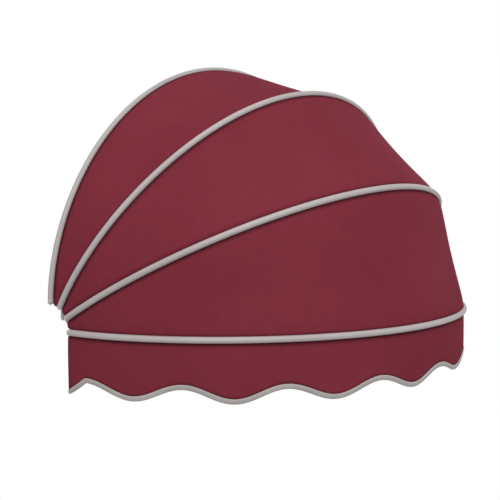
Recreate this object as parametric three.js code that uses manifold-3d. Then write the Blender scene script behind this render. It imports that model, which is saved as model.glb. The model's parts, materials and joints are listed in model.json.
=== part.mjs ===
// Dutch window awning: half-round hoops fan out from a hinge at each side, with cloth between them.
// Millimetres, +Z up. X runs across the window, the front faces -Y and the wall is the plane y = 0.
// The origin lies on the wall, midway between the hinges and level with their pivot bolts.
import * as THREE from "three";
import { mergeVertices } from "three/addons/utils/BufferGeometryUtils.js";
import Module from "manifold-3d";

const wasm = await Module();
wasm.setup();

// Clearances
const seatGap = 0.3; // between pieces that touch
const clothGap = 0.4; // between a cloth edge or its welt and the groove
const foldGap = 6; // room for cloth between two folded hoops
const wallGap = 3; // behind the rear hoop
const lipGap = 0.4; // between the crown clip and the cloth above it

// Hoops: one extruded bar, bent to the same curve four times
const hoopWidth = 1600; // between the leg centres
const hoopRise = 740; // from the leg ends to the crown
const hoopBend = 1.1; // 1 is a half ellipse, more makes the legs straighter
const hoopDiameter = 18;
const hoopSteps = 24;
const hoopAngles = { rear: 90, upper: 60, lower: 30, front: 0 }; // degrees above level, opened

// Grooves for the cloth and the port for the end screws, in the hoop's section
const grooveTilt = THREE.MathUtils.degToRad(16); // towards the inside of the dome
const grooveLip = 1.5;
const pocketDiameter = 5.2;
const mouthWidth = 2;
const portDiameter = 4.4;
const webWidth = 1; // between the port and the pockets

// Cloth
const clothThickness = mouthWidth - 2 * clothGap;
const clothStraight = 3; // run of cloth that stays in line with its groove
const clothSteps = 5; // rows of faces across a panel
const clothSag = 0.02; // of the distance between the two hoops
const valanceDrop = 149.5; // from the front hoop to the middle of the binding
const waveHeight = 18.5; // above and below that middle
const wavePeriod = 289;
const firstCrest = 63; // along the hoop from its left end, a straight rise
const firstTrough = 215.5;
const waveSteps = 3; // for each step of the hoop
const bindingWidth = 15.5;
const bindingThickness = 2.4;

// Hinges
const legGap = 1.5; // between the hoop legs and the outer leaf
const leafThickness = 3.5;
const leafWidth = 14;
const leafRise = 28; // along a middle hoop, from level with the pivot to the hoop's end
const bossRadius = 8.5;
const tabThickness = 3.5;
const tabOverhang = 3.5; // past the axis of the end screw
const boltDiameter = 6;
const boltHeadDiameter = 11;
const boltHeadHeight = 3.6;
const boltTail = 1.2; // past the nut
const nutWidth = 10;
const nutHeight = 5;
const washerDiameter = 14;
const washerThickness = 0.8;
const screwDiameter = 2.4;
const screwHeadDiameter = 6.4;
const screwHeadHeight = 2.6;
const screwLength = 12;
const legStraight = 8; // of the hoop, past the tip of the end screw

// Wall bracket and crown clip
const plateThickness = 4;
const plateWidth = 44;
const plateBottom = 40; // above the pivot
const plateHeight = 84;
const plateHoleDiameter = 6.5;
const plateHoleInset = 13;
const earBottom = 60; // where the ear leaves the plate, above the pivot
const earHeight = 24;
const earDepth = 12;
const clipWidth = 24;
const clipThickness = 3;
const clipDrop = 36; // length of the leg that lies on the wall

// Places that follow from these sizes. The pivot lies forward of and above the line that the planes of
// the opened hoops share, so that the hoops come to lie side by side when they fold against the wall.
const hoopRadius = hoopDiameter / 2;
const upperTurn = THREE.MathUtils.degToRad(hoopAngles.upper);
const pivotOffset = (hoopDiameter + foldGap) / (1 + Math.cos(upperTurn) - Math.sin(upperTurn));
const hoopEnd = pivotOffset * (Math.cos(upperTurn) + Math.sin(upperTurn)) + leafRise;
const fanY = -hoopRadius - wallGap;
const fanZ = -pivotOffset;
const pivotY = fanY - pivotOffset;
const pocketRadius = pocketDiameter / 2;
const pocketDistance = hoopRadius - grooveLip - pocketRadius;
const portRadius = portDiameter / 2;
const portReach = pocketRadius + webWidth + portRadius;
const portHeight = Math.sqrt(Math.max(portReach ** 2 - (pocketDistance * Math.cos(grooveTilt)) ** 2, 0));
const portOffset = portHeight - pocketDistance * Math.sin(grooveTilt); // away from the dome
const weltRadius = pocketRadius - 2 * clothGap;
const clothEdge = pocketDistance + weltRadius + clothGap;
const clothExit = hoopRadius + clothStraight;
const legStep = screwLength + legStraight;
const tabTop = hoopEnd - seatGap;
const tabBottom = tabTop - tabThickness;

// Layers of a hinge, as distances inward from the centre of the hoop legs
const layerPitch = leafThickness + washerThickness + 2 * seatGap;
const outerLayer = hoopRadius + legGap;
const leafLayers = {
  upper: outerLayer,
  lower: outerLayer + layerPitch,
  front: outerLayer + 2 * layerPitch,
};
const earLayer = leafLayers.front + layerPitch;
const nutLayer = earLayer + leafThickness + seatGap;

const finishes = {
  aluminium: { color: 0xb0a8a5, roughness: 0.42, metalness: 0.6 },
  cloth: { color: 0x7a2e3b, roughness: 0.9, metalness: 0 },
  welt: { color: 0x5f2430, roughness: 0.8, metalness: 0 },
  binding: { color: 0xaaa29f, roughness: 0.85, metalness: 0 },
  bracket: { color: 0xa6a09d, roughness: 0.45, metalness: 0.6 },
  steel: { color: 0x9a9a9c, roughness: 0.35, metalness: 0.9 },
};

const awning = new THREE.Group();

function addPiece(name, geometry, finish) {
  const mesh = new THREE.Mesh(geometry, new THREE.MeshStandardMaterial(finishes[finish]));
  mesh.name = name;
  awning.add(mesh);
}

// Joining and cutting
function toSolid(geometry) {
  geometry.deleteAttribute("normal");
  geometry.deleteAttribute("uv");
  const merged = mergeVertices(geometry);
  const vertProperties = new Float32Array(merged.attributes.position.array);
  const triVerts = new Uint32Array(merged.index.array);
  return new wasm.Manifold(new wasm.Mesh({ numProp: 3, vertProperties, triVerts }));
}

function toGeometry(solid) {
  const mesh = solid.getMesh();
  const geometry = new THREE.BufferGeometry();
  geometry.setAttribute("position", new THREE.BufferAttribute(mesh.vertProperties, 3));
  geometry.setIndex(new THREE.BufferAttribute(mesh.triVerts, 1));
  return geometry;
}

function hullOf(geometries) {
  return toGeometry(wasm.Manifold.hull(geometries.map(toSolid)));
}

function joinAndCut(joined, holes) {
  const whole = joined.map(toSolid).reduce((sum, piece) => sum.add(piece));
  return toGeometry(holes.map(toSolid).reduce((rest, hole) => rest.subtract(hole), whole));
}

// Blocks and rods given by their limits
function block(x, y, z) {
  const geometry = new THREE.BoxGeometry(x[1] - x[0], y[1] - y[0], z[1] - z[0]);
  return geometry.translate((x[0] + x[1]) / 2, (y[0] + y[1]) / 2, (z[0] + z[1]) / 2);
}

function rodAlongX(radius, x, y, z, sides) {
  const geometry = new THREE.CylinderGeometry(radius, radius, x[1] - x[0], sides);
  return geometry.rotateZ(-Math.PI / 2).translate((x[0] + x[1]) / 2, y, z);
}

function rodAlongY(radius, x, y, z, sides) {
  const geometry = new THREE.CylinderGeometry(radius, radius, y[1] - y[0], sides);
  return geometry.translate(x, (y[0] + y[1]) / 2, z);
}

// X limits of a layer of the left or right hinge, from its inward distances
function layerLimits(side, from, to) {
  const ends = [from, to].map((inward) => side * (hoopWidth / 2 - inward));
  return [Math.min(...ends), Math.max(...ends)];
}

// A hoop's own frame: X across, Y from the shared line to the crown, Z towards the next hoop down
function hoopFrame(name) {
  const turn = THREE.MathUtils.degToRad(hoopAngles[name]);
  const across = new THREE.Vector3(1, 0, 0);
  const outward = new THREE.Vector3(0, -Math.cos(turn), Math.sin(turn));
  const next = new THREE.Vector3(0, -Math.sin(turn), -Math.cos(turn));
  return new THREE.Matrix4().makeBasis(across, outward, next).setPosition(0, fanY, fanZ);
}

class HoopCurve extends THREE.Curve {
  getPoint(t, target = new THREE.Vector3()) {
    const turn = Math.PI * t;
    const rise = hoopRise * Math.max(Math.sin(turn), 0) ** hoopBend;
    return target.set((-hoopWidth / 2) * Math.cos(turn), hoopEnd + rise, 0);
  }

  // The arc length at a share of the steps: a short step at each end and equal ones between
  lengthAt(u) {
    const step = u * hoopSteps;
    const last = hoopSteps - 1;
    const equal = (this.getLength() - 2 * legStep) / (hoopSteps - 2);
    const legs = Math.min(step, 1) + Math.max(step - last, 0);
    return legStep * legs + equal * (THREE.MathUtils.clamp(step, 1, last) - 1);
  }

  getUtoTmapping(u) {
    return super.getUtoTmapping(u, this.lengthAt(u));
  }
}

const hoopCurve = new HoopCurve();
const stations = hoopCurve.getSpacedPoints(hoopSteps);
const stationFrames = hoopCurve.computeFrenetFrames(hoopSteps, false);

// A point beside the hoop's centre line, at a station that may lie between two steps
function besideHoop(station, offset) {
  const step = Math.min(Math.floor(station), hoopSteps - 1);
  const share = station - step;
  const centre = stations[step].clone().lerp(stations[step + 1], share);
  const away = stationFrames.binormals[step].clone().lerp(stationFrames.binormals[step + 1], share);
  return centre.addScaledVector(away, offset.away).add(new THREE.Vector3(0, 0, offset.next));
}

// How far a hoop's leg leans inward at a height above its end
function legLean(height) {
  const step = stations.findIndex((point) => point.y > hoopEnd + height);
  const share = (hoopEnd + height - stations[step - 1].y) / (stations[step].y - stations[step - 1].y);
  return hoopWidth / 2 + stations[step - 1].clone().lerp(stations[step], share).x;
}

// Places along a groove: direction 1 faces the next hoop down, -1 the one above
function grooveOffset(distance, direction) {
  return { away: -distance * Math.sin(grooveTilt), next: direction * distance * Math.cos(grooveTilt) };
}

function arcPoints(x, y, radius, from, to, steps) {
  return Array.from({ length: steps + 1 }, (_, i) => {
    const turn = from + ((to - from) * i) / steps;
    return new THREE.Vector2(x + radius * Math.cos(turn), y + radius * Math.sin(turn));
  });
}

// The pocket of a groove, entered and left at its mouth
function pocketPoints(turn) {
  const mouth = Math.asin(mouthWidth / 2 / pocketRadius);
  const x = pocketDistance * Math.cos(turn);
  const y = pocketDistance * Math.sin(turn);
  return arcPoints(x, y, pocketRadius, turn - mouth, turn + mouth - 2 * Math.PI, 6);
}

function hoopSection() {
  const mouth = Math.asin(mouthWidth / 2 / hoopRadius);
  const right = -grooveTilt;
  const left = Math.PI + grooveTilt;
  const section = new THREE.Shape([
    ...arcPoints(0, 0, hoopRadius, right + mouth, left - mouth, 7),
    ...pocketPoints(left),
    ...arcPoints(0, 0, hoopRadius, left + mouth, right - mouth + 2 * Math.PI, 5),
    ...pocketPoints(right + 2 * Math.PI),
  ]);
  const port = arcPoints(0, portOffset, portRadius, 0, 2 * Math.PI, 6);
  section.holes.push(new THREE.Path(port.slice(0, -1)));
  return section;
}

function alongHoop(section) {
  return new THREE.ExtrudeGeometry(section, { steps: hoopSteps, extrudePath: hoopCurve });
}

// In the extruded section, +X faces the hoop above and +Y away from the dome
function weltSection(direction) {
  const offset = grooveOffset(pocketDistance, direction);
  const ring = arcPoints(-offset.next, offset.away, weltRadius, 0, 2 * Math.PI, 6);
  return new THREE.Shape(ring.slice(0, -1));
}

// A sheet of cloth, shaped from a flat box: place() gives the middle surface and its outer side
function sheet(columns, rows, thickness, place) {
  const geometry = new THREE.BoxGeometry(1, 1, 1, columns, rows, 1);
  const position = geometry.attributes.position;
  for (let i = 0; i < position.count; i += 1) {
    const column = Math.round((position.getX(i) + 0.5) * columns);
    const row = Math.round((0.5 - position.getY(i)) * rows);
    const { point, outer } = place(column, row);
    point.addScaledVector(outer, position.getZ(i) * thickness);
    position.setXYZ(i, point.x, point.y, point.z);
  }
  return toGeometry(toSolid(geometry));
}

// One edge of a panel at a station: the points in and just outside the groove, and the outer side
function panelEdge(hoop, station, direction) {
  const frame = hoopFrame(hoop);
  const at = (offset) => besideHoop(station, offset).applyMatrix4(frame);
  const centre = at({ away: 0, next: 0 });
  const lean = { away: Math.cos(grooveTilt), next: direction * Math.sin(grooveTilt) };
  return {
    held: at(grooveOffset(clothEdge, direction)),
    free: at(grooveOffset(clothExit, direction)),
    outer: at(lean).sub(centre),
  };
}

function panel(above, below) {
  return sheet(hoopSteps, clothSteps, clothThickness, (station, row) => {
    const upper = panelEdge(above, station, 1);
    const lower = panelEdge(below, station, -1);
    const share = (row - 1) / (clothSteps - 2);
    if (row === 0) return { point: upper.held, outer: upper.outer };
    if (row === clothSteps) return { point: lower.held, outer: lower.outer };
    const outer = upper.outer.clone().lerp(lower.outer, share).normalize();
    const sag = 4 * share * (1 - share) * clothSag * upper.free.distanceTo(lower.free);
    return { point: upper.free.lerp(lower.free, share).addScaledVector(outer, -sag), outer };
  });
}

// The middle of the binding below the front hoop, waving along the hoop
function bindingDrop(station) {
  const along = hoopCurve.lengthAt(station / hoopSteps);
  if (along < firstCrest) return valanceDrop + waveHeight * (1 - (2 * along) / firstCrest);
  const halfWave = along < firstTrough ? firstTrough - firstCrest : wavePeriod / 2;
  return valanceDrop + waveHeight * Math.cos((Math.PI * (along - firstTrough)) / halfWave);
}

function hangingPoint(station, drop) {
  const away = grooveOffset(clothExit, 1).away;
  return besideHoop(station, { away, next: drop }).applyMatrix4(hoopFrame("front"));
}

function hangingOuter(station) {
  const inner = besideHoop(station, { away: 0, next: 0 });
  return besideHoop(station, { away: 1, next: 0 }).sub(inner).transformDirection(hoopFrame("front"));
}

function valance() {
  return sheet(hoopSteps * waveSteps, 2, clothThickness, (column, row) => {
    const station = column / waveSteps;
    const held = besideHoop(station, grooveOffset(clothEdge, 1)).applyMatrix4(hoopFrame("front"));
    const drops = [0, clothExit, bindingDrop(station) - bindingWidth / 2];
    const point = row === 0 ? held : hangingPoint(station, drops[row]);
    return { point, outer: hangingOuter(station) };
  });
}

function valanceBinding() {
  return sheet(hoopSteps * waveSteps, 1, bindingThickness, (column, row) => {
    const station = column / waveSteps;
    const top = bindingDrop(station) - bindingWidth / 2 + seatGap;
    const drop = top + row * (bindingWidth - seatGap);
    return { point: hangingPoint(station, drop), outer: hangingOuter(station) };
  });
}

// The tab that a hoop's end sits on, and the hole for the end screw, in that hoop's own frame
function endTab(side, layer) {
  const x = layerLimits(side, -portOffset - tabOverhang, layer + leafThickness);
  return block(x, [tabBottom, tabTop], [-leafWidth / 2, leafWidth / 2]);
}

function endScrewX(side) {
  return side * (hoopWidth / 2 + portOffset);
}

function endScrewHole(side) {
  const radius = screwDiameter / 2 + seatGap;
  return rodAlongY(radius, endScrewX(side), [tabBottom - 1, tabTop + 1], 0, 8);
}

function endScrew(side, hoop) {
  const seat = tabBottom - seatGap;
  const shank = rodAlongY(screwDiameter / 2, endScrewX(side), [seat - 1, seat + screwLength], 0, 6);
  const head = rodAlongY(screwHeadDiameter / 2, endScrewX(side), [seat - screwHeadHeight, seat], 0, 10);
  return joinAndCut([head, shank], []).applyMatrix4(hoopFrame(hoop));
}

// A moving hoop's leaf: a lever from the pivot to the hoop's end
function leaf(side, hoop) {
  const turn = THREE.MathUtils.degToRad(hoopAngles[hoop]);
  const along = pivotOffset * (Math.cos(turn) + Math.sin(turn));
  const beside = pivotOffset * (Math.sin(turn) - Math.cos(turn));
  const layer = leafLayers[hoop];
  const x = layerLimits(side, layer, layer + leafThickness);
  const boss = rodAlongX(bossRadius, x, along, beside, 16);
  const end = block(x, [tabBottom, tabTop], [-leafWidth / 2, leafWidth / 2]);
  const bore = rodAlongX(boltDiameter / 2 + seatGap, [x[0] - 1, x[1] + 1], along, beside, 12);
  const piece = joinAndCut([hullOf([boss, end]), endTab(side, layer)], [bore, endScrewHole(side)]);
  return piece.applyMatrix4(hoopFrame(hoop));
}

// The wall bracket: a plate on the wall, a root that carries the rear hoop's end and an ear inside the
// leaves that carries the pivot
function wallBracket(side) {
  const plateTop = plateBottom + plateHeight;
  const plateSide = outerLayer + legLean(plateTop - fanZ - hoopEnd);
  const plateX = layerLimits(side, plateSide, plateSide + plateWidth);
  const footX = layerLimits(side, outerLayer, plateSide + plateWidth);
  const rootX = layerLimits(side, outerLayer, outerLayer + leafThickness);
  const earX = layerLimits(side, earLayer, earLayer + leafThickness);
  const plate = block(plateX, [-plateThickness, 0], [plateBottom, plateTop]);
  const foot = block(footX, [-plateThickness, 0], [plateBottom, plateBottom + leafWidth]);
  const root = block(rootX, [fanY - leafWidth / 2, 0], [fanZ + tabBottom, plateBottom + leafWidth]);
  const tab = endTab(side, outerLayer).applyMatrix4(hoopFrame("rear"));
  const boss = rodAlongX(bossRadius, earX, pivotY, 0, 16);
  const ear = hullOf([boss, block(earX, [-earDepth, 0], [earBottom, earBottom + earHeight])]);
  const bore = rodAlongX(boltDiameter / 2 + seatGap, [earX[0] - 1, earX[1] + 1], pivotY, 0, 12);
  const screwHole = endScrewHole(side).applyMatrix4(hoopFrame("rear"));
  const holeX = side * (hoopWidth / 2 - plateSide - plateWidth / 2);
  const holes = [plateTop - plateHoleInset, plateBottom + plateHoleInset].map((z) =>
    rodAlongY(plateHoleDiameter / 2, holeX, [-plateThickness - 1, 1], z, 12),
  );
  return joinAndCut([plate, foot, root, tab, ear], [bore, screwHole, ...holes]);
}

function pivotBolt(side) {
  const headSeat = outerLayer - seatGap;
  const head = layerLimits(side, headSeat - boltHeadHeight, headSeat);
  const shank = layerLimits(side, headSeat - 1, nutLayer + nutHeight + boltTail);
  const solids = [
    rodAlongX(boltHeadDiameter / 2, head, pivotY, 0, 16),
    rodAlongX(boltDiameter / 2, shank, pivotY, 0, 12),
  ];
  return joinAndCut(solids, []);
}

function pivotNut(side) {
  const x = layerLimits(side, nutLayer, nutLayer + nutHeight);
  const body = rodAlongX(nutWidth / Math.sqrt(3), x, pivotY, 0, 6);
  const bore = rodAlongX(boltDiameter / 2 + seatGap, [x[0] - 1, x[1] + 1], pivotY, 0, 12);
  return joinAndCut([body], [bore]);
}

// A washer on the inner side of a leaf
function washer(side, hoop) {
  const from = leafLayers[hoop] + leafThickness + seatGap;
  const x = layerLimits(side, from, from + washerThickness);
  const disc = rodAlongX(washerDiameter / 2, x, pivotY, 0, 16);
  const bore = rodAlongX(boltDiameter / 2 + seatGap, [x[0] - 1, x[1] + 1], pivotY, 0, 12);
  return joinAndCut([disc], [bore]);
}

// A hook on the wall under the crown of the rear hoop
function crownClip() {
  const x = [-clipWidth / 2, clipWidth / 2];
  const crown = stations[hoopSteps / 2];
  const beside = stations[hoopSteps / 2 + 1];
  const dip = ((clipWidth / 2) * (crown.y - beside.y)) / (beside.x - crown.x);
  const seat = fanZ + crown.y - hoopRadius - dip - seatGap;
  const front = fanY - hoopRadius - seatGap;
  const reach = hoopRadius + seatGap + clipThickness; // to the front of the lip
  const underCloth = reach * Math.tan(grooveTilt) + clothThickness / 2 / Math.cos(grooveTilt);
  const lipTop = fanZ + crown.y - dip - underCloth - lipGap;
  const back = block(x, [-clipThickness, 0], [seat - clipDrop, seat]);
  const shelf = block(x, [front - clipThickness, 0], [seat - clipThickness, seat]);
  const lip = block(x, [front - clipThickness, front], [seat - clipThickness, lipTop]);
  const hole = rodAlongY(plateHoleDiameter / 2, 0, [-clipThickness - 1, 1], seat - clipDrop / 2, 12);
  return joinAndCut([back, shelf, lip], [hole]);
}

for (const hoop of Object.keys(hoopAngles)) {
  addPiece(`hoop_${hoop}`, alongHoop(hoopSection()).applyMatrix4(hoopFrame(hoop)), "aluminium");
}

const panels = [
  { name: "panel_upper", above: "rear", below: "upper" },
  { name: "panel_middle", above: "upper", below: "lower" },
  { name: "panel_lower", above: "lower", below: "front" },
];
for (const { name, above, below } of panels) {
  addPiece(name, panel(above, below), "cloth");
  addPiece(`${name}_top_welt`, alongHoop(weltSection(1)).applyMatrix4(hoopFrame(above)), "welt");
  addPiece(`${name}_bottom_welt`, alongHoop(weltSection(-1)).applyMatrix4(hoopFrame(below)), "welt");
}
addPiece("valance", valance(), "cloth");
addPiece("valance_welt", alongHoop(weltSection(1)).applyMatrix4(hoopFrame("front")), "welt");
addPiece("valance_binding", valanceBinding(), "binding");

for (const [sideName, side] of Object.entries({ left: -1, right: 1 })) {
  addPiece(`${sideName}_wall_bracket`, wallBracket(side), "bracket");
  addPiece(`${sideName}_pivot_bolt`, pivotBolt(side), "steel");
  addPiece(`${sideName}_pivot_nut`, pivotNut(side), "steel");
  for (const hoop of Object.keys(leafLayers)) {
    addPiece(`${sideName}_${hoop}_leaf`, leaf(side, hoop), "bracket");
    addPiece(`${sideName}_${hoop}_washer`, washer(side, hoop), "steel");
  }
  for (const hoop of Object.keys(hoopAngles)) {
    addPiece(`${sideName}_${hoop}_end_screw`, endScrew(side, hoop), "steel");
  }
}
addPiece("crown_clip", crownClip(), "bracket");

export default awning;
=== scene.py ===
import json
import math

import bpy
import numpy as np
from mathutils import Matrix, Vector


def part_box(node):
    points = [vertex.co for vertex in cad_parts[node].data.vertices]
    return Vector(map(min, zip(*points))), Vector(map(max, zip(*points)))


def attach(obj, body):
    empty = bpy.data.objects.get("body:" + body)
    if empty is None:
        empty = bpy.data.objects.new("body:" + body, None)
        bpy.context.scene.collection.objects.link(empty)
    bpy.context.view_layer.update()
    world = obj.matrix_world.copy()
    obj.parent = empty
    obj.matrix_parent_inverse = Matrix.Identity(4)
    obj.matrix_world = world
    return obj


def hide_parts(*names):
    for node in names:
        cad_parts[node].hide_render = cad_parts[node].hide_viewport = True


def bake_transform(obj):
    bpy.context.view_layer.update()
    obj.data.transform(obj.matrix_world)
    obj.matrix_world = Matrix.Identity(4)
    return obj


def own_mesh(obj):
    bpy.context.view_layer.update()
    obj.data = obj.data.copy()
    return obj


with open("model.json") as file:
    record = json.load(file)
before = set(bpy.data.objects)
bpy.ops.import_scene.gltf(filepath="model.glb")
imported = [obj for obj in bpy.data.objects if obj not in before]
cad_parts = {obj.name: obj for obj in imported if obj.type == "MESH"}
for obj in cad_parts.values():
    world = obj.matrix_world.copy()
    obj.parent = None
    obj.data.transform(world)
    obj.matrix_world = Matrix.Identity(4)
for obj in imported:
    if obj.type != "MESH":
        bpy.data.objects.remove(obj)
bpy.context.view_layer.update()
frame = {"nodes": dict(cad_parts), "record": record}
bpy.context.scene.view_settings.view_transform = "Standard"
print("frame:", len(frame["nodes"]), "nodes")


# camera

cameraPlan = {
    "place": (-2.4371, -2.0915, 0.3690),
    "azimuth": -0.8868,  # radians, from straight in front
    "elevation": 0.0686,
    "roll": -0.005,
    "focalPixels": 897.7,
    "picturePixels": 500,
    "sensor": 36.0,
    "farthest": 60,
}


def addCamera(plan):
    az = plan["azimuth"]
    el = plan["elevation"]
    roll = plan["roll"]
    back = Vector((math.sin(az) * math.cos(el), -math.cos(az) * math.cos(el), math.sin(el)))
    right = Vector((math.cos(az), math.sin(az), 0))
    up = back.cross(right)
    sideways = right * math.cos(roll) + up * math.sin(roll)
    upright = up * math.cos(roll) - right * math.sin(roll)
    turn = Matrix((sideways, upright, back)).transposed()
    bpy.ops.object.camera_add(location=plan["place"], rotation=turn.to_euler())
    camera = bpy.context.object
    camera.data.sensor_width = plan["sensor"]
    camera.data.lens = plan["sensor"] * plan["focalPixels"] / plan["picturePixels"]
    camera.data.clip_end = plan["farthest"]
    bpy.context.scene.camera = camera


addCamera(cameraPlan)
print("camera: placed")


# shader node groups

def addNode(tree, kind, place, **settings):
    node = tree.nodes.new(kind)
    node.location = place
    for key, value in settings.items():
        setattr(node, key, value)
    return node


def feed(tree, socket, value):
    if isinstance(value, bpy.types.NodeSocket):
        tree.links.new(value, socket)
    else:
        socket.default_value = value


def mathNode(tree, operation, place, *values):
    node = addNode(tree, "ShaderNodeMath", place, operation=operation)
    for socket, value in zip(node.inputs, values):
        feed(tree, socket, value)
    return node.outputs[0]


def rangeNode(tree, place, value, fromLow, fromHigh, toLow, toHigh, smooth=False):
    node = addNode(tree, "ShaderNodeMapRange", place, clamp=True)
    if smooth:
        node.interpolation_type = "SMOOTHSTEP"
    limits = {"From Min": fromLow, "From Max": fromHigh, "To Min": toLow, "To Max": toHigh}
    feed(tree, node.inputs["Value"], value)
    for key, limit in limits.items():
        feed(tree, node.inputs[key], limit)
    return node.outputs[0]


def noiseNode(tree, place, vector, scale, detail, roughness=0.5):
    node = addNode(tree, "ShaderNodeTexNoise", place)
    settings = {"Vector": vector, "Scale": scale, "Detail": detail, "Roughness": roughness}
    for key, value in settings.items():
        feed(tree, node.inputs[key], value)
    return node.outputs["Fac"]


def mixColour(tree, place, share, first, second, blend="MIX"):
    node = addNode(tree, "ShaderNodeMix", place, data_type="RGBA", blend_type=blend)
    for number, value in ((0, share), (6, first), (7, second)):
        feed(tree, node.inputs[number], value)
    return node.outputs[2]


def mixFloat(tree, place, share, first, second):
    node = addNode(tree, "ShaderNodeMix", place, data_type="FLOAT")
    for number, value in ((0, share), (2, first), (3, second)):
        feed(tree, node.inputs[number], value)
    return node.outputs[0]


def newGroup(name, inputs, outputs):
    tree = bpy.data.node_groups.new(name, "ShaderNodeTree")
    for socketName, kind, value in inputs:
        socket = tree.interface.new_socket(name=socketName, in_out="INPUT", socket_type=kind)
        if value is not None:
            socket.default_value = value
    for socketName in outputs:
        tree.interface.new_socket(name=socketName, in_out="OUTPUT", socket_type="NodeSocketFloat")
    given = addNode(tree, "NodeGroupInput", (-900, 0)).outputs
    result = addNode(tree, "NodeGroupOutput", (900, 0)).inputs
    return tree, given, result


weavePlan = {
    "passOver": 0.35,  # half width of the change from warp to weft
    "lit": 0.8,  # height at which a thread has its full tone
}


def weaveGroup(plan):
    # a plain weave on a map in metres: warp and weft pass over each other in turn
    tree, given, result = newGroup(
        "plainWeave",
        [("Map", "NodeSocketVector", None), ("Pitch", "NodeSocketFloat", 0.001)],
        ["Height", "Shade"],
    )
    parts = addNode(tree, "ShaderNodeSeparateXYZ", (-720, 100))
    tree.links.new(given["Map"], parts.inputs[0])
    turns = mathNode(tree, "DIVIDE", (-720, -100), math.pi, given["Pitch"])
    warpTurn = mathNode(tree, "MULTIPLY", (-540, 160), parts.outputs[0], turns)
    weftTurn = mathNode(tree, "MULTIPLY", (-540, -40), parts.outputs[1], turns)
    warp = mathNode(tree, "ABSOLUTE", (-180, 200), mathNode(tree, "SINE", (-360, 200), warpTurn))
    weft = mathNode(tree, "ABSOLUTE", (-180, 0), mathNode(tree, "SINE", (-360, 0), weftTurn))
    crossing = mathNode(
        tree, "MULTIPLY", (-180, -200),
        mathNode(tree, "COSINE", (-360, -160), warpTurn),
        mathNode(tree, "COSINE", (-360, -280), weftTurn),
    )
    over = rangeNode(tree, (0, -200), crossing, -plan["passOver"], plan["passOver"], 0, 1, smooth=True)
    height = mixFloat(tree, (240, 60), over, warp, weft)
    tree.links.new(height, result["Height"])
    tree.links.new(rangeNode(tree, (480, -60), height, 0, plan["lit"], 0, 1), result["Shade"])
    return tree


driftPlan = {
    "broad": {"share": 0.7, "detail": 2},
    "fine": {"share": 0.3, "detail": 3},
    "range": (0.3, 0.7),  # of the noise, stretched to the full tone
}


def fadeGroup(plan):
    # slow drift of tone with a finer mottle on it
    tree, given, result = newGroup(
        "toneDrift",
        [
            ("Place", "NodeSocketVector", None),
            ("Broad", "NodeSocketFloat", 3.0),
            ("Fine", "NodeSocketFloat", 60.0),
        ],
        ["Tone"],
    )
    broad = noiseNode(tree, (-500, 120), given["Place"], given["Broad"], plan["broad"]["detail"])
    fine = noiseNode(tree, (-500, -140), given["Place"], given["Fine"], plan["fine"]["detail"])
    wide = mathNode(tree, "MULTIPLY", (-220, 120), broad, plan["broad"]["share"])
    small = mathNode(tree, "MULTIPLY", (-220, -140), fine, plan["fine"]["share"])
    total = mathNode(tree, "ADD", (0, 0), wide, small)
    tree.links.new(rangeNode(tree, (240, 0), total, *plan["range"], 0, 1), result["Tone"])
    return tree


stitchPlan = {
    "threadEdge": (0.4, 0.75),  # in thread widths from the row
    "pulled": (0.5, 3.5),  # the same, for the dimple along the row
    "stitchEnd": (0.3, 0.42),  # in stitch lengths from a stitch's middle
}


def stitchGroup(plan):
    # one row of lockstitch at a set distance from a hem
    tree, given, result = newGroup(
        "stitchRow",
        [
            ("Along", "NodeSocketFloat", 0.0),
            ("Distance", "NodeSocketFloat", 0.0),
            ("Row", "NodeSocketFloat", 0.014),
            ("Length", "NodeSocketFloat", 0.0045),
            ("Thread", "NodeSocketFloat", 0.0009),
        ],
        ["Mask", "Dimple"],
    )
    apart = mathNode(tree, "SUBTRACT", (-600, 160), given["Distance"], given["Row"])
    off = mathNode(tree, "ABSOLUTE", (-400, 160), apart)
    beside = mathNode(tree, "DIVIDE", (-200, 160), off, given["Thread"])
    stitches = mathNode(tree, "DIVIDE", (-600, -80), given["Along"], given["Length"])
    cycle = mathNode(tree, "FRACT", (-400, -80), stitches)
    gap = mathNode(tree, "ABSOLUTE", (-40, -80), mathNode(tree, "SUBTRACT", (-220, -80), cycle, 0.5))
    across = rangeNode(tree, (0, 160), beside, *plan["threadEdge"], 1, 0, smooth=True)
    along = rangeNode(tree, (160, -80), gap, *plan["stitchEnd"], 1, 0, smooth=True)
    tree.links.new(mathNode(tree, "MULTIPLY", (420, 80), across, along), result["Mask"])
    pulled = rangeNode(tree, (420, 260), beside, *plan["pulled"], 1, 0, smooth=True)
    tree.links.new(pulled, result["Dimple"])
    return tree


wearPlan = {"scale": 90, "detail": 4, "roughness": 0.65, "breaks": (0.42, 0.6)}


def wearGroup(plan):
    # bare metal on worn edges, broken up by noise
    tree, given, result = newGroup(
        "edgeWear",
        [
            ("Place", "NodeSocketVector", None),
            ("Low", "NodeSocketFloat", 0.52),
            ("High", "NodeSocketFloat", 0.6),
        ],
        ["Mask"],
    )
    shape = addNode(tree, "ShaderNodeNewGeometry", (-700, 160))
    edge = rangeNode(tree, (-300, 160), shape.outputs["Pointiness"], given["Low"], given["High"], 0, 1)
    patchy = noiseNode(
        tree, (-500, -160), given["Place"], plan["scale"], plan["detail"], plan["roughness"])
    broken = rangeNode(tree, (-300, -160), patchy, *plan["breaks"], 0, 1)
    tree.links.new(mathNode(tree, "MULTIPLY", (200, 0), edge, broken), result["Mask"])
    return tree


grainPlan = {"detail": 2, "speck": (0.35, 0.65)}


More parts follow.
